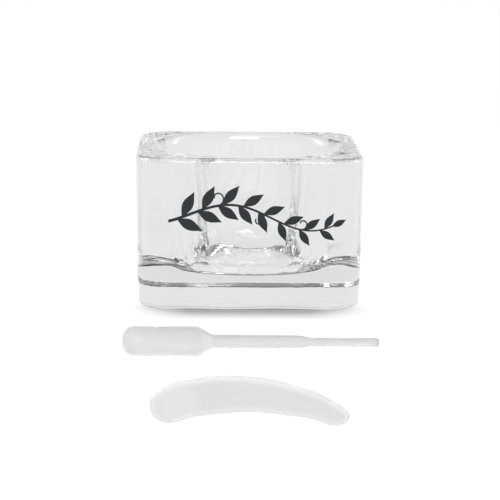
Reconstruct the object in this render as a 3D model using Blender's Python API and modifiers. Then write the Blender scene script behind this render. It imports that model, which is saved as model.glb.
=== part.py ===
"""Square glass dappen dish with the squeeze pipette and the spatula that belong to it.

The row frame is in metres, +Z up. Its origin is the middle of the dish's underside, on the table.
The dish's printed face looks along -Y. The two tools are on the table in front of that face: the
pipette lies down, and the spatula stands on the two ends of its arched lower edge.
"""

import math

import bmesh
import bpy
from mathutils import Euler, Matrix, Vector

# Dish: a pressed block of clear glass, a little wider at the rim so that it leaves its mould.
DISH_WIDTH = 0.060
DISH_HEIGHT = 0.040
DISH_DRAFT = 0.0007
CORNER_RADIUS = 0.010
RIM_FILLET = 0.0014
BASE_FILLET = 0.0013
CORNER_STEPS = 8
FILLET_STEPS = 3

# Well: round, a little wider at its mouth, with a flat floor inside a rounded heel, and a rounded lip.
FLOOR_THICKNESS = 0.0080
WELL_FOOT_RADIUS = 0.0236
WELL_TOP_RADIUS = 0.0250
HEEL_FILLET = 0.0056
LIP_FILLET = 0.0015
LIP_OVERSHOOT = 0.00005
LIP_END_DEGREES = 96
HEEL_STEPS = 6
LIP_STEPS = 4
WELL_STEPS = 64

# Print: a leafy sprig in ceramic ink on the front face. It is laid out flat, then wrapped on the glass.
INK_THICKNESS = 0.00010
LEAF_INK_THICKNESS = 0.00008
INK_GAP = 0.00005
PRINT_HEIGHT = 0.0250
SPRIG_FOOT = -0.0212
SPRIG_LENGTH = 0.0430
SPRIG_RISE = 0.0044
SPRIG_PHASE = 0.10
SPRIG_SWING = 0.55
SPRIG_GROWTH = 0.35
STEM_WIDTH = 0.0008
STEM_THINNING = 0.55
STEM_STEPS = 40
LEAF_PAIRS = 8
LEAF_START = 0.05
LEAF_RUN = 0.86
LEAF_STAGGER = 0.03
LEAF_SCALE = 1.08
LEAF_SHRINK = 0.42
END_LEAF_ROOT = 0.985
END_LEAF_SCALE = 0.62
LEAF_LENGTH = 0.0070
LEAF_WIDTH = 0.0027
LEAF_ANGLE = math.radians(44)
TENDRIL_WIDTH = 0.00038
TENDRILS = ((0.30, 1, 0.0021), (0.56, -1, 0.0019), (0.80, 1, 0.0016))

# Pipette: one soft plastic blow moulding, turned about its own length.
BULB_RADIUS = 0.0035
BULB_END = 0.0029
BULB_LENGTH = 0.0184
SHOULDER_LENGTH = 0.0034
STEM_RADIUS = 0.00158
STEM_LENGTH = 0.0212
NECKING_LENGTH = 0.0036
TIP_RADIUS = 0.00105
TIP_LENGTH = 0.0166
BULB_WALL = 0.00045
TIP_WALL = 0.00040
CAP_STEPS = 6
PIPETTE_STEPS = 24
PIPETTE_CENTRE = Vector((-0.0006, -0.0794, 0.0))
PIPETTE_YAW = math.radians(13.8)

# Squeezed patch: the part of the bulb's upper wall that a thumb pushes in.
PATCH_LENGTH = 0.0100
PATCH_WIDTH = 0.0042
PATCH_CENTRE = 0.0100
PATCH_GAP = 0.0003

# Spatula: a flat arched blade, broad and round at one end, with a shallow scoop in that end.
SPATULA_THICKNESS = 0.0016
SPATULA_EDGE = 0.00035
SPATULA_FOOT = Vector((-0.0023, -0.1463, 0.00012))
SPATULA_YAW = math.radians(-3)
SCOOP_RADIUS = 0.0300
SCOOP_DEPTH = 0.00035
SCOOP_PLACE = (-0.0152, 0.0046)
SCOOP_STEPS = 96
OUTLINE_STEPS = 6

TABLE_GAP = 0.00002
OVERCUT = 0.004
MERGE = 0.00001


def clear_scene():
    for obj in list(bpy.data.objects):
        bpy.data.objects.remove(obj, do_unlink=True)


def collection(name):
    made = bpy.data.collections.new(name)
    bpy.context.scene.collection.children.link(made)
    return made


def material(name, colour, roughness, transmission=0.0):
    made = bpy.data.materials.new(name)
    made.use_nodes = True
    shader = made.node_tree.nodes["Principled BSDF"]
    shader.inputs["Base Color"].default_value = (*colour, 1.0)
    shader.inputs["Roughness"].default_value = roughness
    shader.inputs["Metallic"].default_value = 0.0
    shader.inputs["Transmission Weight"].default_value = transmission
    return made


def object_from_bmesh(bm, name, home, finish=None):
    mesh = bpy.data.meshes.new(name)
    bm.normal_update()
    bm.to_mesh(mesh)
    bm.free()
    obj = bpy.data.objects.new(name, mesh)
    home.objects.link(obj)
    if finish:
        mesh.materials.append(finish)
    return obj


def smooth(obj, angle=math.radians(35)):
    obj.data.shade_smooth()
    obj.data.set_sharp_from_angle(angle=angle)


def as_cutter(obj):
    obj.hide_render = True
    obj.display_type = "WIRE"


def boolean(obj, operation, other):
    modifier = obj.modifiers.new(operation.lower(), "BOOLEAN")
    modifier.operation = operation
    modifier.solver = "EXACT"
    if isinstance(other, bpy.types.Collection):
        modifier.operand_type = "COLLECTION"
        modifier.collection = other
    else:
        modifier.object = other


def turned(name, profile, home, steps, finish=None):
    """A solid turned about local Z. The profile is (radius, height), down its outer side."""
    bm = bmesh.new()
    points = [bm.verts.new((radius, 0.0, height)) for radius, height in profile]
    for first, second in zip(points, points[1:]):
        bm.edges.new((first, second))
    obj = object_from_bmesh(bm, name, home, finish)
    screw = obj.modifiers.new("screw", "SCREW")
    screw.axis = "Z"
    screw.angle = math.tau
    screw.steps = steps
    screw.render_steps = steps
    screw.use_merge_vertices = True
    screw.merge_threshold = MERGE
    screw.use_smooth_shade = True
    return obj


def quarter(centre, radius_x, radius_z, start, end, count):
    """Points of an elliptical arc in the profile's plane, from angle start to angle end in degrees."""
    angles = [math.radians(start + (end - start) * i / count) for i in range(count + 1)]
    return [(centre[0] + radius_x * math.cos(a), centre[1] + radius_z * math.sin(a)) for a in angles]


def dish_block(home, finish):
    """The block outside: a cube with a draft, round upright corners, and softened rim and base edges."""
    bm = bmesh.new()
    bmesh.ops.create_cube(bm, size=1.0)
    for v in bm.verts:
        half = DISH_WIDTH / 2 if v.co.z > 0 else DISH_WIDTH / 2 - DISH_DRAFT
        x, y = math.copysign(half, v.co.x), math.copysign(half, v.co.y)
        v.co = Vector((x, y, (v.co.z + 0.5) * DISH_HEIGHT))
    upright = [e for e in bm.edges if abs(e.verts[0].co.z - e.verts[1].co.z) > DISH_HEIGHT / 2]
    bmesh.ops.bevel(
        bm, geom=upright, offset=CORNER_RADIUS, segments=CORNER_STEPS, profile=0.5, affect="EDGES"
    )
    for height, fillet in ((DISH_HEIGHT, RIM_FILLET), (0.0, BASE_FILLET)):
        level = [e for e in bm.edges if all(abs(v.co.z - height) < MERGE for v in e.verts)]
        bmesh.ops.bevel(bm, geom=level, offset=fillet, segments=FILLET_STEPS, profile=0.5, affect="EDGES")
    return object_from_bmesh(bm, "glass_dish", home, finish)


def well_profile():
    """The air in the well, down from above the rim, over the lip and round the heel to the floor."""
    heel_centre = (WELL_FOOT_RADIUS - HEEL_FILLET, FLOOR_THICKNESS + HEEL_FILLET)
    lip_centre = (WELL_TOP_RADIUS + LIP_FILLET, DISH_HEIGHT - LIP_FILLET)
    lip = quarter(lip_centre, LIP_FILLET, LIP_FILLET + LIP_OVERSHOOT, LIP_END_DEGREES, 180, LIP_STEPS)
    heel = quarter(heel_centre, HEEL_FILLET, HEEL_FILLET, 0, -90, HEEL_STEPS)
    above = DISH_HEIGHT + OVERCUT
    return [(0.0, above), (lip[0][0], above), *lip, *heel, (0.0, FLOOR_THICKNESS)]


def make_dish(parts, cutters, glass):
    dish = dish_block(parts, glass)
    well = turned("well_cutter", well_profile(), cutters, WELL_STEPS)
    as_cutter(well)
    boolean(dish, "DIFFERENCE", well)
    smooth(dish)
    return dish


def sprig_centre(t):
    """The sprig's stem laid flat, a lazy S, for t from 0 at its foot to 1 at its tip."""
    wave = math.sin(math.tau * (t - SPRIG_PHASE)) * (SPRIG_SWING + SPRIG_GROWTH * t)
    return Vector((SPRIG_FOOT + t * SPRIG_LENGTH, SPRIG_RISE * wave, 0.0))


def sprig_heading(t):
    step = 0.002
    along = sprig_centre(t + step) - sprig_centre(t - step)
    return math.atan2(along.y, along.x)


def on_front(u, v, w):
    """Wraps the flat print on the glass: u across, v up, w out. Past the flat it turns the corner."""
    height = PRINT_HEIGHT + v
    half = DISH_WIDTH / 2 - DISH_DRAFT * (1 - height / DISH_HEIGHT)
    corner = half - CORNER_RADIUS
    turn = max(abs(u) - corner, 0.0) / CORNER_RADIUS
    reach = CORNER_RADIUS + w
    x = u if turn == 0 else math.copysign(corner + reach * math.sin(turn), u)
    return Vector((x, -corner - reach * math.cos(turn), height))


def ink_shape(name, home, left, right, thickness, finish=None):
    """A film of ink between two edges that run the same way, laid flat and then wrapped."""
    bm = bmesh.new()
    rungs = []
    for a, b in zip(left, right):
        ends = (a, b) if (a - b).length > MERGE else (a,)
        rungs.append([bm.verts.new(p) for p in ends])
    for low, high in zip(rungs, rungs[1:]):
        bm.faces.new([*low, *high[::-1]])
    sheet = bmesh.ops.extrude_face_region(bm, geom=bm.faces[:])
    raised = [v for v in sheet["geom"] if isinstance(v, bmesh.types.BMVert)]
    bmesh.ops.translate(bm, verts=raised, vec=(0.0, 0.0, thickness))
    below = INK_GAP + (INK_THICKNESS - thickness) / 2
    for v in bm.verts:
        v.co = on_front(v.co.x, v.co.y, v.co.z + below)
    bmesh.ops.recalc_face_normals(bm, faces=bm.faces[:])
    return object_from_bmesh(bm, name, home, finish)


def ribbon(centre, width, count):
    """Two edges of a ribbon about centre(t). The width is a function of t, and t runs from 0 to 1."""
    step = 0.001
    edges = ([], [])
    for i in range(count + 1):
        t = i / count
        along = (centre(t + step) - centre(t - step)).normalized()
        across = Vector((-along.y, along.x, 0.0)) * width(t) / 2
        edges[0].append(centre(t) - across)
        edges[1].append(centre(t) + across)
    return edges


def leaf_edges(foot, heading, length, width, count=8):
    """A pointed leaf from its foot, along its heading."""
    def centre(t):
        return foot + Vector((math.cos(heading), math.sin(heading), 0.0)) * length * t

    def breadth(t):
        return width * math.sin(math.pi * min(max(t, 0.0), 1.0)) ** 1.2 * (1.15 - 0.3 * t)

    return ribbon(centre, breadth, count)


def tendril_edges(foot, heading, side, size, count=22):
    """A thin curl that leaves the stem and winds up to its own end."""
    def centre(t):
        turn = heading + side * 1.5 * math.pi * t
        radius = size * (1.0 - 0.72 * t)
        hub = foot + Vector((-math.sin(heading), math.cos(heading), 0.0)) * side * size
        return hub + Vector((math.sin(turn), -math.cos(turn), 0.0)) * side * radius

    return ribbon(centre, lambda t: TENDRIL_WIDTH, count)


def make_print(parts, cutters, ink):
    """The stem is one ribbon of ink. The leaves and the tendrils overlap it at their feet."""
    stem = ribbon(sprig_centre, lambda t: STEM_WIDTH * (1.0 - STEM_THINNING * t), STEM_STEPS)
    sprig = ink_shape("front_print", parts, *stem, INK_THICKNESS, ink)
    shapes = bpy.data.collections.new("print_shapes")
    cutters.children.link(shapes)
    for i in range(LEAF_PAIRS):
        t = LEAF_START + LEAF_RUN * i / (LEAF_PAIRS - 1)
        size = LEAF_SCALE - LEAF_SHRINK * t
        for side in (-1, 1):
            root = t + LEAF_STAGGER * (side > 0)
            heading = sprig_heading(root) + side * LEAF_ANGLE
            edges = leaf_edges(sprig_centre(root), heading, LEAF_LENGTH * size, LEAF_WIDTH * size)
            as_cutter(ink_shape(f"leaf_{i}_{side + 1}", shapes, *edges, LEAF_INK_THICKNESS))
    foot, heading = sprig_centre(END_LEAF_ROOT), sprig_heading(END_LEAF_ROOT)
    end = leaf_edges(foot, heading, LEAF_LENGTH * END_LEAF_SCALE, LEAF_WIDTH * END_LEAF_SCALE)
    as_cutter(ink_shape("leaf_end", shapes, *end, LEAF_INK_THICKNESS))
    for i, (root, side, size) in enumerate(TENDRILS):
        edges = tendril_edges(sprig_centre(root), sprig_heading(root), side, size)
        as_cutter(ink_shape(f"tendril_{i}", shapes, *edges, LEAF_INK_THICKNESS))
    boolean(sprig, "UNION", shapes)
    return sprig


def pipette_profile():
    """The outside from the bulb's closed end down to the tip's mouth, then the bore back up."""
    bulb_end = 0.0
    shoulder_start = -BULB_LENGTH
    stem_start = shoulder_start - SHOULDER_LENGTH
    stem_end = stem_start - STEM_LENGTH
    tip_start = stem_end - NECKING_LENGTH
    mouth = tip_start - TIP_LENGTH
    cap = quarter((0.0, bulb_end - BULB_END), BULB_RADIUS, BULB_END, 90, 0, CAP_STEPS)
    outer = [
        (0.0, bulb_end),
        *cap[1:],
        (BULB_RADIUS, shoulder_start),
        (STEM_RADIUS, stem_start),
        (STEM_RADIUS, stem_end),
        (TIP_RADIUS, tip_start),
        (TIP_RADIUS, mouth),
    ]
    inner_cap = quarter(
        (0.0, bulb_end - BULB_END), BULB_RADIUS - BULB_WALL, BULB_END - BULB_WALL, 0, 90, CAP_STEPS
    )
    inner = [
        (TIP_RADIUS - TIP_WALL, mouth),
        (TIP_RADIUS - TIP_WALL, tip_start),
        (STEM_RADIUS - BULB_WALL, stem_end),
        (STEM_RADIUS - BULB_WALL, stem_start),
        (BULB_RADIUS - BULB_WALL, shoulder_start),
        *inner_cap[:-1],
        (0.0, bulb_end - BULB_WALL),
    ]
    return outer + inner


def pipette_pose():
    """Carries the turned shape onto the table, where it rests on the shoulder and the tip's end."""
    length = BULB_LENGTH + SHOULDER_LENGTH + STEM_LENGTH + NECKING_LENGTH + TIP_LENGTH
    dip = math.atan((BULB_RADIUS - TIP_RADIUS) / (length - BULB_LENGTH))
    height = TIP_RADIUS * math.cos(dip) + math.sin(dip) * length / 2 + TABLE_GAP
    place = Matrix.Translation(PIPETTE_CENTRE + Vector((0.0, 0.0, height)))
    turn = Euler((0.0, dip - math.pi / 2, PIPETTE_YAW)).to_matrix().to_4x4()
    return place @ turn @ Matrix.Translation((0.0, 0.0, length / 2))


def patch_prism(name, home, pose, grow):
    """A prism with round ends that stands on the bulb's upper side. It bounds the squeezed patch."""
    bm = bmesh.new()
    radius = PATCH_WIDTH / 2 + grow
    reach = (PATCH_LENGTH - PATCH_WIDTH) / 2
    made = bmesh.ops.create_cone(
        bm, cap_ends=True, segments=24, radius1=radius, radius2=radius, depth=BULB_RADIUS + OVERCUT
    )
    for v in made["verts"]:
        v.co.y += math.copysign(reach, v.co.y) if abs(v.co.y) > MERGE else 0.0
    upright = Matrix.Rotation(math.pi / 2, 4, "Y")
    out = Matrix.Translation(((BULB_RADIUS + OVERCUT) / 2 + BULB_RADIUS / 4, 0.0, -PATCH_CENTRE))
    bm.transform(out @ upright @ Matrix.Rotation(math.pi / 2, 4, "Z"))
    prism = object_from_bmesh(bm, name, home)
    prism.matrix_world = pose
    as_cutter(prism)
    return prism


def make_pipette(parts, cutters, soft_plastic):
    pose = pipette_pose()
    pieces = []
    for name, operation, grow in (
        ("pipette", "DIFFERENCE", PATCH_GAP / 2),
        ("pipette_squeeze_wall", "INTERSECT", -PATCH_GAP / 2),
    ):
        piece = turned(name, pipette_profile(), parts, PIPETTE_STEPS, soft_plastic)
        piece.matrix_world = pose
        boolean(piece, operation, patch_prism(f"{name}_bound", cutters, pose, grow))
        pieces.append(piece)
    return pieces


def spatula_outline():
    """The blade's edge as a closed smooth curve, in millimetres: along it, and up from its feet."""
    return (
        (-21.1, 3.7),
        (-18.8, 6.9),
        (-11.3, 9.3),
        (-3.0, 10.0),
        (7.7, 8.5),
        (18.6, 4.0),
        (20.4, 2.4),
        (19.5, 0.4),
        (11.5, 1.4),
        (0.0, 2.5),
        (-10.8, 1.5),
        (-19.2, 0.35),
    )


def make_spatula(parts, cutters, plastic):
    """The outline is filled, thickened and softened at its edge, and the scoop is cut from its front."""
    curve = bpy.data.curves.new("spatula_curve", "CURVE")
    curve.dimensions = "2D"
    curve.fill_mode = "BOTH"
    curve.extrude = SPATULA_THICKNESS / 2 - SPATULA_EDGE
    curve.bevel_depth = SPATULA_EDGE
    curve.bevel_resolution = 1
    curve.offset = -SPATULA_EDGE
    curve.resolution_u = OUTLINE_STEPS
    spline = curve.splines.new("BEZIER")
    outline = spatula_outline()
    spline.bezier_points.add(len(outline) - 1)
    for point, (x, y) in zip(spline.bezier_points, outline):
        point.co = (x / 1000, y / 1000, 0.0)
        point.handle_left_type = "AUTO"
        point.handle_right_type = "AUTO"
    spline.use_cyclic_u = True
    drawn = bpy.data.objects.new("spatula_curve", curve)
    parts.objects.link(drawn)
    bpy.context.view_layer.update()
    graph = bpy.context.evaluated_depsgraph_get()
    mesh = bpy.data.meshes.new_from_object(drawn.evaluated_get(graph))
    bpy.data.objects.remove(drawn, do_unlink=True)
    bm = bmesh.new()
    bm.from_mesh(mesh)
    bmesh.ops.remove_doubles(bm, verts=bm.verts[:], dist=MERGE / 10)
    bmesh.ops.recalc_face_normals(bm, faces=bm.faces[:])
    spatula = object_from_bmesh(bm, "spatula", parts, plastic)
    bpy.data.meshes.remove(mesh)
    stand = Euler((math.pi / 2, 0.0, SPATULA_YAW))
    spatula.rotation_euler = stand
    spatula.location = SPATULA_FOOT
    bm = bmesh.new()
    bmesh.ops.create_uvsphere(bm, u_segments=SCOOP_STEPS, v_segments=SCOOP_STEPS, radius=SCOOP_RADIUS)
    scoop = object_from_bmesh(bm, "scoop_cutter", cutters)
    scoop.rotation_euler = stand
    out = SPATULA_THICKNESS / 2 + SCOOP_RADIUS - SCOOP_DEPTH
    scoop.location = Matrix.LocRotScale(SPATULA_FOOT, stand, None) @ Vector((*SCOOP_PLACE, out))
    as_cutter(scoop)
    boolean(spatula, "DIFFERENCE", scoop)
    smooth(spatula)
    return spatula


def main():
    clear_scene()
    parts = collection("dappen_dish")
    cutters = collection("cutters")
    make_dish(parts, cutters, material("clear_glass", (0.96, 0.97, 0.97), 0.0, 1.0))
    make_print(parts, cutters, material("ceramic_ink", (0.03, 0.04, 0.05), 0.35))
    make_pipette(parts, cutters, material("soft_clear_plastic", (0.93, 0.93, 0.93), 0.3, 0.6))
    make_spatula(parts, cutters, material("frosted_plastic", (0.86, 0.86, 0.86), 0.5, 0.2))


main()
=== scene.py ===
import math

import bmesh
import bpy
from mathutils import Euler, Matrix, Vector, kdtree, noise


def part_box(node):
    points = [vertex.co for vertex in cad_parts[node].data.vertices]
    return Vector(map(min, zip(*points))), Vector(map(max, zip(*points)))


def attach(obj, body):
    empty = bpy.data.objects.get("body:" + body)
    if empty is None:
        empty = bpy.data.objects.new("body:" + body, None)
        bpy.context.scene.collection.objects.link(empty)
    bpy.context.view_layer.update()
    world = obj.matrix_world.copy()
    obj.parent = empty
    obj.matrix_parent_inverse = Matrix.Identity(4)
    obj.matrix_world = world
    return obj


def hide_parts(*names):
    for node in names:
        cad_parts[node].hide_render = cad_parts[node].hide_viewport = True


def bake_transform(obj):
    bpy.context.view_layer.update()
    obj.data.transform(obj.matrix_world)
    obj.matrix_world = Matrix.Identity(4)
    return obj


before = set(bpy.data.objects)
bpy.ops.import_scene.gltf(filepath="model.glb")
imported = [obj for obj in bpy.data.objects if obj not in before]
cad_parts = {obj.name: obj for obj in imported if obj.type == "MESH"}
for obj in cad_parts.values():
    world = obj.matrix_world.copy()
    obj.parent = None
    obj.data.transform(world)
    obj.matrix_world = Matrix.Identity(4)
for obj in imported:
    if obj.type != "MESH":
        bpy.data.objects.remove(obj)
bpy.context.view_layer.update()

# The dish. Its width and height come from its CAD box.
DISH_LOW, DISH_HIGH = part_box("glass_dish")
HALF = (DISH_HIGH.x - DISH_LOW.x) / 2
HEIGHT = DISH_HIGH.z
DRAFT = 0.0007
CORNER = 0.010
RIM_FILLET = 0.0014
BASE_FILLET = 0.0013
FLOOR_Z = 0.0080
WELL_FOOT = 0.0236
WELL_TOP = 0.0250
HEEL = 0.0056
LIP = 0.0015
LIP_DEPTH = 0.0028
UNDERSIDE_LIFT = 0.00002

# The unevenness of the pressed glass, as waves of (length, height).
WELL_WAVES = (0.009, 0.00022)
HEEL_WAVES = (0.0029, 0.00030)
CORNER_WAVES = (0.0024, 0.00040)
RIM_WAVES = (0.0026, 0.00034)
SIDE_WAVES = (0.011, 0.00003)
BASE_WAVES = (0.010, 0.00008)
BASE_EDGE_WAVES = (0.013, 0.00045)

# The rim's lumps start where it is this wide, and are full where it is this much wider.
LUMPS_START = 0.0035
LUMPS_GROWTH = 0.004

# Points along each side and round each upright corner, and rings over each stretch of the dish.
SIDE_POINTS = 44
CORNER_POINTS = 28
FLOOR_RINGS = 8
FLOOR_SPAN = (0.06, 0.97)
HEEL_RINGS = 16
WALL_RINGS = 30
LIP_RINGS = 12
RIM_RINGS = 14
RIM_EDGE_RINGS = 8
SIDE_RINGS = 26
BASE_EDGE_RINGS = 10
UNDERSIDE_RINGS = 15
UNDERSIDE_SPAN = (0.94, 0.04)

# The flat stretches stop this far from where a fillet begins.
RIM_MARGIN = 0.0003
SIDE_MARGIN = 0.0006
UNDERSIDE_MARGINS = (0.0005, 0.004)

# Glass. The mould's fine ripples show from (first, fully) this far below the rim, and from
# (first, fully) this many half widths from the dish's axis. Elsewhere a faint share is left.
GLASS_IOR = 1.52
GLASS_LOSS = 22.0
GLASS_BOUNCES = 20
RIPPLE_SCALE = 420
RIPPLE_HEIGHT = 0.0004
RIPPLES_BELOW_RIM = (0.0045, 0.0005)
RIPPLES_FROM_AXIS = (0.93, 1.1)
RIPPLES_LOW_DOWN = 0.04
RIPPLES_AT_MIDDLE = 0.2

# Most of a noise lies between these values.
NOISE_SPREAD = (0.3, 0.7)

# The pipette, turned about its own length. Its wall is thinner from where the stem is NARROWED.
BULB_RADIUS = 0.0035
BULB_END = 0.0029
BULB_LENGTH = 0.0184
SHOULDER_LENGTH = 0.0034
STEM_RADIUS = 0.00158
STEM_LENGTH = 0.0212
NECKING_LENGTH = 0.0036
TIP_RADIUS = 0.00105
TIP_LENGTH = 0.0166
BULB_WALL = 0.00045
TIP_WALL = 0.00040
PIPETTE_CENTRE = Vector((-0.0006, -0.0794, 0.0))
PIPETTE_YAW = math.radians(13.8)
PIPETTE_LENGTH = BULB_LENGTH + SHOULDER_LENGTH + STEM_LENGTH + NECKING_LENGTH + TIP_LENGTH
PIPETTE_SIDES = 96
CAP_RINGS = 10
STRAIGHT_RINGS = 8
SHOULDER_SHARES = (0.04, 0.25, 0.5, 0.75, 0.94)
NECKING_SPAN = (0.05, 0.95)
NARROWED = 0.99
NECKING_RINGS = 6
TABLE_GAP = 0.00002
POLE_RADIUS = 1e-5

# The pipette's straight stretches start and stop this far from a change of width.
BULB_STOP = 0.0004
STEM_START = 0.0005
STEM_STOP = 0.0004
TIP_START = 0.0003

# The spatula stands on the two ends of its arched edge.
SPATULA_THICKNESS = 0.0016
SPATULA_FOOT = Vector((-0.0023, -0.1463, 0.00012))
SPATULA_YAW = math.radians(-3)
SPATULA_ROUND = 0.00075
# The band of painted light along the blade's edge is this wide.
SPATULA_LIGHT_BAND = 0.0013
SPATULA_STATIONS = 120
SPATULA_ROWS = 30
OUTLINE_STEPS = 24
SPATULA_OUTLINE = (
    (-21.1, 3.7), (-18.8, 6.9), (-11.3, 9.3), (-3.0, 10.0), (7.7, 8.5), (18.6, 4.0),
    (20.4, 2.4), (19.5, 0.4), (11.5, 1.4), (0.0, 2.5), (-10.8, 1.5), (-19.2, 0.35),
)
SCOOP_PLACE = Vector((-0.0152, 0.0046))
SCOOP_REACH = 0.0046
SCOOP_DEPTH = 0.00035
SCOOP_CURVE = 1.2
# Painted light in the scoop: where it ends and how far it fades. Then how fast the painted light on the rim
# falls off.
SCOOP_LIGHT_EDGE = 1.15
SCOOP_LIGHT_FADE = 0.4
RIM_LIGHT_CURVE = 0.8
MERGE = 1e-6

# The camera.
CAMERA_TARGET = Vector((0.0, 0.0, 0.020))
CAMERA_DISTANCE = 0.5964
CAMERA_ELEVATION = math.radians(9.17)
CAMERA_AZIMUTH = math.radians(-1.37)
CAMERA_ROLL = math.radians(0.548)
CAMERA_LENS = 157.4
CAMERA_SHIFT = (0.005, -0.066)
CAMERA_CLIP = (0.01, 20)
SENSOR = 36.0

# The studio. Each stop is (share of the way, brightness): from the camera's side to the far side,
# and from the horizon to overhead.
WORLD_AROUND = ((0.12, 0.42), (0.62, 1.0))
WORLD_UP = ((0.0, 0.87), (0.35, 0.92), (0.43, 0.02), (0.64, 0.02), (0.74, 0.30), (1.0, 0.30))
FLOOR_SIZE = 3.0
FLOOR_HEIGHT = -0.0003
FLOOR_GLOW = 0.975
FLOOR_GREY = 0.08

# The grey sheet is painted shade seen only through the glass. It gets its full grey between these two
# places in y.
SHEET_HEIGHT = -0.0002
SHEET_PAINTED_SHADE = 0.85
SHEET_START = -0.062
SHEET_FULL = -0.044

# The contact shade. It is full inside SHADE_INSIDE of the middle in x and gone by SHADE_OUTSIDE.
# In y it follows (y in metres, share): full just in front of the dish.
SHADE_REACH = 0.012
SHADE_CURVE = 1.4
SHADE_DEEPEST = 0.38
SHADE_INSIDE = 0.016
SHADE_OUTSIDE = 0.034
SHADE_SHARES = (
    (-0.060, 0.0), (-0.048, 0.0), (-0.044, 1.0), (-0.0250, 1.0), (-0.0170, 0.15), (0.0, 0.15),
)

# The lights: name, place, aim, width, height, watts, seen in reflections, seen through the glass.
LIGHTS = (
    ("key", (-0.25, 0.12, 0.7), (0, -0.04, 0), 0.26, 0.34, 1.9, False, True),
    ("strip", (-0.05, -0.24, 0.32), (0, -0.10, 0), 0.34, 0.10, 0.25, True, False),
    ("left", (-0.9, 0.25, 0.4), (0, 0, 0.02), 0.24, 0.8, 1.8, True, True),
    ("right", (0.9, 0.25, 0.4), (0, 0, 0.02), 0.24, 0.8, 1.8, True, True),
    ("front", (0.1, -1.3, 0.75), (0, -0.08, 0), 0.9, 0.5, 12.0, True, False),
)


def material(name):
    made = bpy.data.materials.new(name)
    made.use_nodes = True
    return made, made.node_tree, made.node_tree.nodes["Principled BSDF"]


def add(tree, kind, **values):
    """A node with its settings, and with its input sockets set by name."""
    node = tree.nodes.new(kind)
    for key, value in values.items():
        if key in node.bl_rna.properties:
            setattr(node, key, value)
        else:
            node.inputs[key.replace("_", " ")].default_value = value
    return node


def object_noise(tree, scale, detail):
    coords = add(tree, "ShaderNodeTexCoord")
    pattern = add(tree, "ShaderNodeTexNoise", Scale=scale, Detail=detail, Roughness=0.5)
    tree.links.new(coords.outputs["Object"], pattern.inputs["Vector"])
    return pattern.outputs["Fac"]


def object_place(tree):
    """Where a point is in its object: the whole vector, and its X, Y and Z."""
    coords = add(tree, "ShaderNodeTexCoord")
    split = add(tree, "ShaderNodeSeparateXYZ")
    tree.links.new(coords.outputs["Object"], split.inputs[0])
    return coords.outputs["Object"], split.outputs


def mapped(tree, value, low, high, start=0.0, end=1.0, smooth=False):
    """A number that goes from start to end while value goes from low to high."""
    steps = "SMOOTHSTEP" if smooth else "LINEAR"
    node = add(
        tree, "ShaderNodeMapRange", interpolation_type=steps,
        From_Min=low, From_Max=high, To_Min=start, To_Max=end,
    )
    tree.links.new(value, node.inputs["Value"])
    return node.outputs["Result"]


def ramp(tree, value, stops):
    """Brightness along a ramp of greys. Each stop is (position, brightness)."""
    node = add(tree, "ShaderNodeValToRGB")
    elements = node.color_ramp.elements
    for place, _ in stops[2:]:
        elements.new(place)
    for element, (place, grey) in zip(elements, stops):
        element.position = place
        element.color = (grey, grey, grey, 1.0)
    tree.links.new(value, node.inputs["Fac"])
    return node.outputs["Color"]


def product(tree, one, two):
    node = add(tree, "ShaderNodeMath", operation="MULTIPLY")
    tree.links.new(one, node.inputs[0])
    tree.links.new(two, node.inputs[1])
    return node.outputs[0]


def adjusted(tree, operation, value, number):
    """The value, changed by one operation with a fixed number."""
    node = add(tree, "ShaderNodeMath", operation=operation)
    node.inputs[1].default_value = number
    tree.links.new(value, node.inputs[0])
    return node.outputs[0]


def fine_bump(tree, shader, height, distance):
    bump = add(tree, "ShaderNodeBump", Strength=1.0, Distance=distance)
    tree.links.new(height, bump.inputs["Height"])
    tree.links.new(bump.outputs["Normal"], shader.inputs["Normal"])


def between(tree, fac, low, high):
    """A number that follows a noise from low to high."""
    return mapped(tree, fac, *NOISE_SPREAD, low, high)


def two_tone(tree, fac, dark, light):
    node = add(tree, "ShaderNodeMix", data_type="RGBA")
    node.inputs[6].default_value = (*dark, 1.0)
    node.inputs[7].default_value = (*light, 1.0)
    tree.links.new(fac, node.inputs["Factor"])
    return node.outputs[2]


def glass_material():
    """Clear pressed glass: a little lost in its depth, and fine ripples left by the mould at the rim."""
    made, tree, shader = material("clear_glass")
    shader.inputs["Base Color"].default_value = (0.982, 0.985, 0.984, 1.0)
    shader.inputs["Roughness"].default_value = 0.0
    shader.inputs["IOR"].default_value = GLASS_IOR
    shader.inputs["Transmission Weight"].default_value = 1.0
    ripples = object_noise(tree, RIPPLE_SCALE, detail=2.0)
    whole, parts = object_place(tree)
    first, full = [HEIGHT - depth for depth in RIPPLES_BELOW_RIM]
    near_rim = mapped(tree, parts["Z"], first, full, start=RIPPLES_LOW_DOWN, smooth=True)
    level = add(tree, "ShaderNodeVectorMath", operation="MULTIPLY")
    level.inputs[1].default_value = (1.0, 1.0, 0.0)
    from_axis = add(tree, "ShaderNodeVectorMath", operation="LENGTH")
    tree.links.new(whole, level.inputs[0])
    tree.links.new(level.outputs["Vector"], from_axis.inputs[0])
    first, full = [HALF * share for share in RIPPLES_FROM_AXIS]
    in_corner = mapped(tree, from_axis.outputs["Value"], first, full, start=RIPPLES_AT_MIDDLE, smooth=True)
    shown = product(tree, product(tree, ripples, near_rim), in_corner)
    fine_bump(tree, shader, shown, distance=RIPPLE_HEIGHT)
    loss = add(tree, "ShaderNodeVolumeAbsorption", Color=(0.90, 0.903, 0.902, 1.0), Density=GLASS_LOSS)
    tree.links.new(loss.outputs["Volume"], tree.nodes["Material Output"].inputs["Volume"])
    return made


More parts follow.
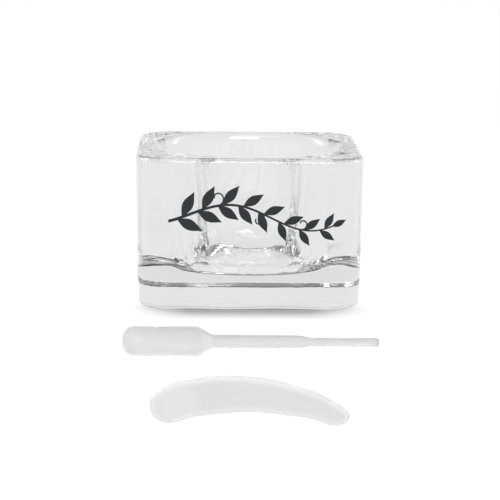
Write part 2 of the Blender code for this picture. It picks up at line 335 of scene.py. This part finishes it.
def ink_material():
    """Fired ink: very dark slate, with the faint grain of the screen."""
    made, tree, shader = material("ceramic_ink")
    cloud = object_noise(tree, scale=260, detail=4.0)
    grain = object_noise(tree, scale=5200, detail=2.0)
    slate = two_tone(tree, cloud, (0.009, 0.013, 0.016), (0.017, 0.023, 0.027))
    tree.links.new(slate, shader.inputs["Base Color"])
    tree.links.new(between(tree, cloud, 0.42, 0.58), shader.inputs["Roughness"])
    shader.inputs["Specular IOR Level"].default_value = 0.3
    fine_bump(tree, shader, grain, distance=0.00002)
    return made


def pipette_material():
    """Soft translucent plastic, clouded unevenly as it was blown, with faint flow marks."""
    made, tree, shader = material("soft_clear_plastic")
    cloud = object_noise(tree, scale=150, detail=3.0)
    skin = object_noise(tree, scale=350, detail=2.0)
    milk = two_tone(tree, cloud, (0.97, 0.971, 0.971), (0.995, 0.996, 0.996))
    tree.links.new(milk, shader.inputs["Base Color"])
    tree.links.new(between(tree, cloud, 0.14, 0.22), shader.inputs["Roughness"])
    shader.inputs["IOR"].default_value = 1.5
    shader.inputs["Transmission Weight"].default_value = 0.68
    shader.inputs["Sheen Weight"].default_value = 1.0
    shader.inputs["Sheen Roughness"].default_value = 0.4
    fine_bump(tree, shader, skin, distance=0.000002)
    return made


def spatula_material():
    """Frosted plastic: a fine matt grain, slightly uneven whiteness, and painted light that makes the rim
    and scoop whiter.
    """
    made, tree, shader = material("frosted_plastic")
    cloud = object_noise(tree, scale=120, detail=3.0)
    grain = object_noise(tree, scale=3600, detail=2.0)
    # Painted light: the rim and the scoop are drawn whiter than the rest of the blade.
    rim = add(tree, "ShaderNodeAttribute", attribute_name="rim")
    hollow = add(tree, "ShaderNodeAttribute", attribute_name="scoop")
    flat = two_tone(tree, cloud, (0.735, 0.735, 0.735), (0.775, 0.775, 0.775))
    scoop_painted_light = add(tree, "ShaderNodeMix", data_type="RGBA")
    tree.links.new(hollow.outputs["Fac"], scoop_painted_light.inputs["Factor"])
    tree.links.new(flat, scoop_painted_light.inputs[6])
    scoop_painted_light.inputs[7].default_value = (0.79, 0.79, 0.79, 1.0)
    whole = add(tree, "ShaderNodeMix", data_type="RGBA")
    tree.links.new(rim.outputs["Fac"], whole.inputs["Factor"])
    tree.links.new(scoop_painted_light.outputs[2], whole.inputs[6])
    whole.inputs[7].default_value = (0.91, 0.91, 0.91, 1.0)
    tree.links.new(whole.outputs[2], shader.inputs["Base Color"])
    tree.links.new(between(tree, grain, 0.42, 0.62), shader.inputs["Roughness"])
    shader.inputs["Sheen Weight"].default_value = 0.4
    shader.inputs["Sheen Roughness"].default_value = 0.5
    shader.inputs["IOR"].default_value = 1.49
    shader.inputs["Transmission Weight"].default_value = 0.35
    fine_bump(tree, shader, grain, distance=0.00002)
    return made


def finished(bm, name, look):
    bmesh.ops.recalc_face_normals(bm, faces=bm.faces[:])
    mesh = bpy.data.meshes.new(name)
    bm.to_mesh(mesh)
    bm.free()
    mesh.materials.append(look)
    mesh.shade_smooth()
    obj = bpy.data.objects.new(name, mesh)
    bpy.context.scene.collection.objects.link(obj)
    return obj


def loft(bm, rings):
    """Faces between closed rings of equal length. A ring of one point is a pole."""
    made = [[bm.verts.new(p) for p in ring] for ring in rings]
    for low, high in zip(made, made[1:]):
        count = max(len(low), len(high))
        for i in range(count):
            j = (i + 1) % count
            a = [low[0]] if len(low) == 1 else [low[i], low[j]]
            b = [high[0]] if len(high) == 1 else [high[j], high[i]]
            bm.faces.new(a + b)


def spread(start, end, count):
    return [start + (end - start) * i / count for i in range(count + 1)]


def block_plan():
    """(core point, outward normal) round the block's plan, four sides and four round corners."""
    core = HALF - CORNER
    plan = []
    for quarter in range(4):
        turn = Matrix.Rotation(quarter * math.pi / 2, 2)
        for i in range(SIDE_POINTS):
            along = core * (2 * i / SIDE_POINTS - 1)
            plan.append((turn @ Vector((along, -core)), turn @ Vector((0, -1))))
        for i in range(CORNER_POINTS):
            angle = math.pi / 2 * i / CORNER_POINTS
            normal = Vector((math.sin(angle), -math.cos(angle)))
            plan.append((turn @ Vector((core, -core)), turn @ normal))
    return plan


PLAN = block_plan()


def block_ring(height, inset):
    """The block's outline at a height, moved inwards by inset past the draft."""
    reach = CORNER - DRAFT * (1 - height / HEIGHT) - inset
    return [Vector((*(core + normal * reach), height)) for core, normal in PLAN]


def well_ring(radius, height):
    """A circle. Its points are at the same bearings as the block's."""
    return [Vector((*(core + normal * CORNER).normalized() * radius, height)) for core, normal in PLAN]


def wave(point, length, height):
    """A smooth unevenness of the glass, in waves of about this length and height."""
    return noise.noise(point / length) * height


def uneven(ring, waves, amount=1.0, in_corners=False):
    """The ring with each point moved along the block's bearing, as if the mould wasn't quite true."""
    length, height = waves
    moved = []
    for p, (_, normal) in zip(ring, PLAN):
        share = 2 * abs(normal.x * normal.y) if in_corners else 1.0
        moved.append(p + Vector((*(normal * wave(p, length, height * amount * share)), 0.0)))
    return moved


def well_profile():
    """(radius, height) from near the floor's middle, round the heel, up the wall and over the lip."""
    rows = [((WELL_FOOT - HEEL) * r, FLOOR_Z) for r in spread(*FLOOR_SPAN, FLOOR_RINGS)]
    for a in spread(0.0, math.pi / 2, HEEL_RINGS):
        rows.append((WELL_FOOT - HEEL * (1 - math.sin(a)), FLOOR_Z + HEEL * (1 - math.cos(a))))
    low, high = FLOOR_Z + HEEL, HEIGHT - LIP_DEPTH
    for t in spread(0, 1, WALL_RINGS)[1:]:
        rows.append((WELL_FOOT + (WELL_TOP - WELL_FOOT) * t, low + (high - low) * t))
    for a in spread(0.0, math.pi / 2, LIP_RINGS)[1:]:
        rows.append((WELL_TOP + LIP * (1 - math.cos(a)), high + LIP_DEPTH * math.sin(a)))
    return rows


def rim_rings(inner, outer):
    """The top of the rim, from the mouth to the outer edge. It's lumpy where it is wide, in the corners."""
    length, height = RIM_WAVES
    rings = []
    for share in spread(0.0, 1.0, RIM_RINGS)[1:-1]:
        ring = []
        for a, b in zip(inner, outer):
            lump = wave(a.lerp(b, share), length, height) - height / 2
            wide = min(max(((b - a).length - LUMPS_START) / LUMPS_GROWTH, 0.0), 1.0)
            ring.append(a.lerp(b, share) + Vector((0, 0, lump * wide * math.sin(math.pi * share))))
        rings.append(ring)
    return rings


def block_profile():
    """(height, inset) from the rim's flat, over its edge, down the outside and under the base."""
    rim = [(HEIGHT, RIM_FILLET + RIM_MARGIN)]
    rim += [
        (HEIGHT - RIM_FILLET * (1 - math.cos(a)), RIM_FILLET * (1 - math.sin(a)))
        for a in spread(0.0, math.pi / 2, RIM_EDGE_RINGS)
    ]
    top, bottom = HEIGHT - RIM_FILLET - SIDE_MARGIN, BASE_FILLET + SIDE_MARGIN
    side = [(h, 0.0) for h in spread(top, bottom, SIDE_RINGS)]
    base = [
        (BASE_FILLET * (1 - math.sin(a)), BASE_FILLET * (1 - math.cos(a)))
        for a in spread(0.0, math.pi / 2, BASE_EDGE_RINGS)
    ]
    under = [(0.0, BASE_FILLET + margin) for margin in UNDERSIDE_MARGINS]
    return rim + side + base + under


def make_dish(glass):
    """One closed body of glass: the well, the flat rim, the block's outside and its underside."""
    rings = [[Vector((0, 0, FLOOR_Z))]]
    for radius, height in well_profile():
        ring = uneven(well_ring(radius, height), WELL_WAVES)
        low_down = max(0.0, 1 - abs(height - FLOOR_Z - HEEL / 2) / HEEL)
        ring = uneven(ring, HEEL_WAVES, low_down)
        rings.append(uneven(ring, CORNER_WAVES, low_down ** 0.5, in_corners=True))
    outside = []
    for height, inset in block_profile():
        ring = uneven(block_ring(height, inset), SIDE_WAVES)
        near_table = max(0.0, 1 - height / (2 * BASE_FILLET)) ** 2
        outside.append(uneven(ring, BASE_EDGE_WAVES, near_table))
    rings += rim_rings(rings[-1], outside[0]) + outside
    last = rings[-1]
    for share in spread(*UNDERSIDE_SPAN, UNDERSIDE_RINGS):
        ring = [Vector((p.x * share, p.y * share, 0)) for p in last]
        rings.append([p + Vector((0, 0, abs(wave(p, *BASE_WAVES)))) for p in ring])
    rings += [[Vector((0, 0, UNDERSIDE_LIFT))]]
    bm = bmesh.new()
    loft(bm, rings)
    dish = finished(bm, "dish_glass", glass)
    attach(dish, "dish")
    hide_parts("glass_dish")


def pipette_place():
    """Carries the turned shape onto the table, as in the CAD."""
    dip = math.atan((BULB_RADIUS - TIP_RADIUS) / (PIPETTE_LENGTH - BULB_LENGTH))
    height = TIP_RADIUS * math.cos(dip) + math.sin(dip) * PIPETTE_LENGTH / 2 + TABLE_GAP
    place = Matrix.Translation(PIPETTE_CENTRE + Vector((0, 0, height)))
    turn = Euler((0.0, dip - math.pi / 2, PIPETTE_YAW)).to_matrix().to_4x4()
    return place @ turn @ Matrix.Translation((0, 0, PIPETTE_LENGTH / 2))


def pipette_outline():
    """(distance from the bulb's end, outer radius) along the pipette."""
    shoulder = BULB_LENGTH + SHOULDER_LENGTH
    necking = shoulder + STEM_LENGTH
    tip = necking + NECKING_LENGTH
    cap = [
        (BULB_END * (1 - math.cos(a)), BULB_RADIUS * math.sin(a))
        for a in spread(0, math.pi / 2, CAP_RINGS)
    ]
    body = [(s, BULB_RADIUS) for s in spread(BULB_END, BULB_LENGTH - BULB_STOP, STRAIGHT_RINGS)[1:]]
    ease = [
        (BULB_LENGTH + SHOULDER_LENGTH * t, BULB_RADIUS + (STEM_RADIUS - BULB_RADIUS) * t)
        for t in SHOULDER_SHARES
    ]
    stem = [
        (s, STEM_RADIUS)
        for s in spread(shoulder + STEM_START, necking - STEM_STOP, STRAIGHT_RINGS)
    ]
    neck = []
    for t in spread(*NECKING_SPAN, NECKING_RINGS):
        eased = 3 * t * t - 2 * t ** 3
        neck.append((necking + NECKING_LENGTH * t, STEM_RADIUS + (TIP_RADIUS - STEM_RADIUS) * eased))
    end = [(s, TIP_RADIUS) for s in spread(tip + TIP_START, PIPETTE_LENGTH, STRAIGHT_RINGS)]
    return cap + body + ease + stem + neck + end


def make_pipette(plastic):
    """One hollow skin, closed at the bulb and open at the tip."""
    outer = pipette_outline()
    inner = []
    for s, r in outer[1:]:
        wall = BULB_WALL if r > STEM_RADIUS * NARROWED else TIP_WALL
        inner.append((max(s, BULB_WALL), max(r - wall, 0.0)))
    bearings = spread(0, math.tau, PIPETTE_SIDES)[:-1]
    rings = []
    for s, r in outer + inner[::-1]:
        if r < POLE_RADIUS:
            rings.append([Vector((0, 0, -s))])
        else:
            rings.append([Vector((r * math.cos(a), r * math.sin(a), -s)) for a in bearings])
    rings.append([Vector((0, 0, -BULB_WALL))])
    bm = bmesh.new()
    loft(bm, rings)
    place = pipette_place()
    bm.transform(place)
    pipette = finished(bm, "pipette_moulding", plastic)
    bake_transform(pipette)
    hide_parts("pipette", "pipette_squeeze_wall")


def drawn_outline(points):
    """The closed smooth curve through points in millimetres, as the CAD draws it, in metres."""
    curve = bpy.data.curves.new("outline", "CURVE")
    curve.dimensions = "2D"
    curve.fill_mode = "NONE"
    curve.resolution_u = OUTLINE_STEPS
    spline = curve.splines.new("BEZIER")
    spline.bezier_points.add(len(points) - 1)
    for point, (x, y) in zip(spline.bezier_points, points):
        point.co = (x / 1000, y / 1000, 0.0)
        point.handle_left_type = "AUTO"
        point.handle_right_type = "AUTO"
    spline.use_cyclic_u = True
    drawn = bpy.data.objects.new("outline", curve)
    bpy.context.scene.collection.objects.link(drawn)
    bpy.context.view_layer.update()
    mesh = drawn.to_mesh()
    outline = [Vector((v.co.x, v.co.y)) for v in mesh.vertices]
    drawn.to_mesh_clear()
    bpy.data.objects.remove(drawn, do_unlink=True)
    bpy.data.curves.remove(curve)
    return outline


def evenly(points, count):
    """Points along a line of points, closer together towards its two ends."""
    lengths = [0.0]
    for a, b in zip(points, points[1:]):
        lengths.append(lengths[-1] + (b - a).length)
    made = []
    i = 0
    for step in range(count + 1):
        want = lengths[-1] * (1 - math.cos(math.pi * step / count)) / 2
        while i < len(points) - 2 and lengths[i + 1] < want:
            i += 1
        share = (want - lengths[i]) / (lengths[i + 1] - lengths[i])
        made.append(points[i].lerp(points[i + 1], min(max(share, 0.0), 1.0)))
    return made


def make_spatula(plastic):
    """A flat blade with fully rounded edges and a shallow scoop in its broad end."""
    outline = drawn_outline(SPATULA_OUTLINE)
    left = min(range(len(outline)), key=lambda i: outline[i].x)
    outline = outline[left:] + outline[:left]
    right = max(range(len(outline)), key=lambda i: outline[i].x)
    upper = evenly(outline[:right + 1], SPATULA_STATIONS)
    lower = evenly([*outline[right:], outline[0]][::-1], SPATULA_STATIONS)
    edge = kdtree.KDTree(len(outline))
    for i, p in enumerate(outline):
        edge.insert((p.x, p.y, 0.0), i)
    edge.balance()

    def thickness(p, front):
        inward = min(edge.find((p.x, p.y, 0.0))[2] / SPATULA_ROUND, 1.0)
        deep = SPATULA_THICKNESS / 2 * math.sqrt(1 - (1 - inward) ** 2)
        if front:
            off = (p - SCOOP_PLACE).length / SCOOP_REACH
            deep -= SCOOP_DEPTH * max(0.0, 1 - off * off) ** SCOOP_CURVE
        return deep

    shares = [(1 - math.cos(math.pi * i / SPATULA_ROWS)) / 2 for i in range(SPATULA_ROWS + 1)]
    bm = bmesh.new()
    for side in (1, -1):
        columns = []
        for a, b in zip(upper, lower):
            column = []
            for share in shares:
                p = a.lerp(b, share)
                at_edge = share in (0.0, 1.0) or (a - b).length < MERGE
                depth = 0.0 if at_edge else side * thickness(p, side > 0)
                column.append(bm.verts.new((p.x, p.y, depth)))
            columns.append(column)
        for one, two in zip(columns, columns[1:]):
            for i in range(SPATULA_ROWS):
                bm.faces.new((one[i], one[i + 1], two[i + 1], two[i])[::side])
    bmesh.ops.remove_doubles(bm, verts=bm.verts[:], dist=MERGE)
    bmesh.ops.dissolve_degenerate(bm, edges=bm.edges[:], dist=MERGE / 10)
    # Painted light: each point's share of the whiter colour along the rim and in the scoop.
    rim = bm.verts.layers.float.new("rim")
    scoop = bm.verts.layers.float.new("scoop")
    for v in bm.verts:
        inward = edge.find((v.co.x, v.co.y, 0.0))[2] / SPATULA_LIGHT_BAND
        v[rim] = max(0.0, 1 - inward) ** RIM_LIGHT_CURVE
        off = (Vector((v.co.x, v.co.y)) - SCOOP_PLACE).length / SCOOP_REACH
        v[scoop] = min(max((SCOOP_LIGHT_EDGE - off) / SCOOP_LIGHT_FADE, 0.0), 1.0)
    bm.transform(Matrix.LocRotScale(SPATULA_FOOT, Euler((math.pi / 2, 0.0, SPATULA_YAW)), None))
    blade = finished(bm, "spatula_blade", plastic)
    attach(blade, "spatula")
    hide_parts("spatula")


def paper(shader, grey):
    """Matt paper, lit from inside."""
    shader.inputs["Base Color"].default_value = (grey, grey, grey, 1.0)
    shader.inputs["Roughness"].default_value = 1.0
    shader.inputs["Specular IOR Level"].default_value = 0.0
    shader.inputs["Emission Color"].default_value = (1, 1, 1, 1)


def floor_material():
    """White paper on a light table. It glows evenly, apart from a little contact shade."""
    made, tree, shader = material("floor_white")
    shade = add(tree, "ShaderNodeAmbientOcclusion", samples=16, Distance=SHADE_REACH)
    curved = adjusted(tree, "POWER", shade.outputs["AO"], SHADE_CURVE)
    lit = adjusted(tree, "MAXIMUM", curved, SHADE_DEEPEST)
    _, parts = object_place(tree)
    near, far = SHADE_SHARES[0][0], SHADE_SHARES[-1][0]
    stops = [((y - near) / (far - near), share) for y, share in SHADE_SHARES]
    in_front = ramp(tree, mapped(tree, parts["Y"], near, far), stops)
    aside = add(tree, "ShaderNodeMath", operation="ABSOLUTE")
    tree.links.new(parts["X"], aside.inputs[0])
    inside = mapped(tree, aside.outputs[0], SHADE_OUTSIDE, SHADE_INSIDE)
    glow = add(tree, "ShaderNodeMix", data_type="FLOAT")
    glow.inputs[2].default_value = FLOOR_GLOW
    tree.links.new(product(tree, in_front, inside), glow.inputs["Factor"])
    tree.links.new(adjusted(tree, "MULTIPLY", lit, FLOOR_GLOW), glow.inputs[3])
    tree.links.new(glow.outputs[0], shader.inputs["Emission Strength"])
    paper(shader, FLOOR_GREY)
    return made


def painted_shade_material():
    """What is seen through the glass: the same paper with painted shade, a little greyer from just in front
    of the dish.
    """
    made, tree, shader = material("floor_painted_shade")
    _, parts = object_place(tree)
    glow = mapped(tree, parts["Y"], SHEET_START, SHEET_FULL, start=1.0, end=SHEET_PAINTED_SHADE)
    tree.links.new(glow, shader.inputs["Emission Strength"])
    paper(shader, 0.0)
    return made


def make_sheet(name, look, height):
    mesh = bpy.data.meshes.new(name)
    bm = bmesh.new()
    bmesh.ops.create_grid(bm, x_segments=1, y_segments=1, size=FLOOR_SIZE)
    bm.to_mesh(mesh)
    bm.free()
    mesh.materials.append(look)
    sheet = bpy.data.objects.new(name, mesh)
    bpy.context.scene.collection.objects.link(sheet)
    sheet.location = (0, 0, height)
    return sheet


def make_stage():
    """A pale floor that runs back to a white surround, and the greyer sheet of painted shade that only the
    glass shows.
    """
    make_sheet("studio_floor", floor_material(), FLOOR_HEIGHT)
    grey = make_sheet("studio_grey", painted_shade_material(), SHEET_HEIGHT)
    grey.visible_camera = False
    grey.visible_diffuse = False
    grey.visible_glossy = False
    grey.visible_shadow = False


def make_world():
    """A pale surround: brightest low down behind the object, with a dark band well above the horizon."""
    world = bpy.data.worlds.new("studio")
    world.use_nodes = True
    tree = world.node_tree
    coords = add(tree, "ShaderNodeTexCoord")
    split = add(tree, "ShaderNodeSeparateXYZ")
    tree.links.new(coords.outputs["Generated"], split.inputs[0])
    both = add(tree, "ShaderNodeMix", data_type="RGBA", blend_type="MULTIPLY")
    both.inputs["Factor"].default_value = 1.0
    around = ramp(tree, mapped(tree, split.outputs["Y"], -1.0, 1.0), WORLD_AROUND)
    upwards = ramp(tree, mapped(tree, split.outputs["Z"], 0.0, 1.0), WORLD_UP)
    tree.links.new(around, both.inputs[6])
    tree.links.new(upwards, both.inputs[7])
    tree.links.new(both.outputs[2], tree.nodes["Background"].inputs["Color"])
    bpy.context.scene.world = world


def soft_box(name, place, aim, width, height, watts, mirrored, refracted):
    """A rectangular light, which reflections or the view through glass can leave out."""
    light = bpy.data.lights.new(name, "AREA")
    light.shape = "RECTANGLE"
    light.size = width
    light.size_y = height
    light.energy = watts
    obj = bpy.data.objects.new(name, light)
    obj.location = place
    obj.rotation_euler = (Vector(aim) - Vector(place)).to_track_quat("-Z", "Y").to_euler()
    obj.visible_glossy = mirrored
    obj.visible_transmission = refracted
    bpy.context.scene.collection.objects.link(obj)


def make_camera():
    data = bpy.data.cameras.new("camera")
    data.sensor_width = SENSOR
    data.lens = CAMERA_LENS
    data.shift_x, data.shift_y = CAMERA_SHIFT
    data.clip_start, data.clip_end = CAMERA_CLIP
    camera = bpy.data.objects.new("camera", data)
    a, e = CAMERA_AZIMUTH, CAMERA_ELEVATION
    back = Vector((math.sin(a) * math.cos(e), -math.cos(a) * math.cos(e), math.sin(e)))
    camera.location = CAMERA_TARGET + back * CAMERA_DISTANCE
    turn = (-back).to_track_quat("-Z", "Y").to_matrix() @ Matrix.Rotation(CAMERA_ROLL, 3, "Z")
    camera.rotation_euler = turn.to_euler()
    bpy.context.scene.collection.objects.link(camera)
    bpy.context.scene.camera = camera


def main():
    scene = bpy.context.scene
    scene.view_settings.view_transform = "Standard"
    scene.cycles.glossy_bounces = GLASS_BOUNCES
    scene.cycles.transmission_bounces = GLASS_BOUNCES
    scene.cycles.max_bounces = GLASS_BOUNCES
    make_camera()
    make_world()
    make_stage()
    for light in LIGHTS:
        soft_box(*light)
    make_dish(glass_material())
    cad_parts["front_print"].material_slots[0].material = ink_material()
    make_pipette(pipette_material())
    make_spatula(spatula_material())


main()
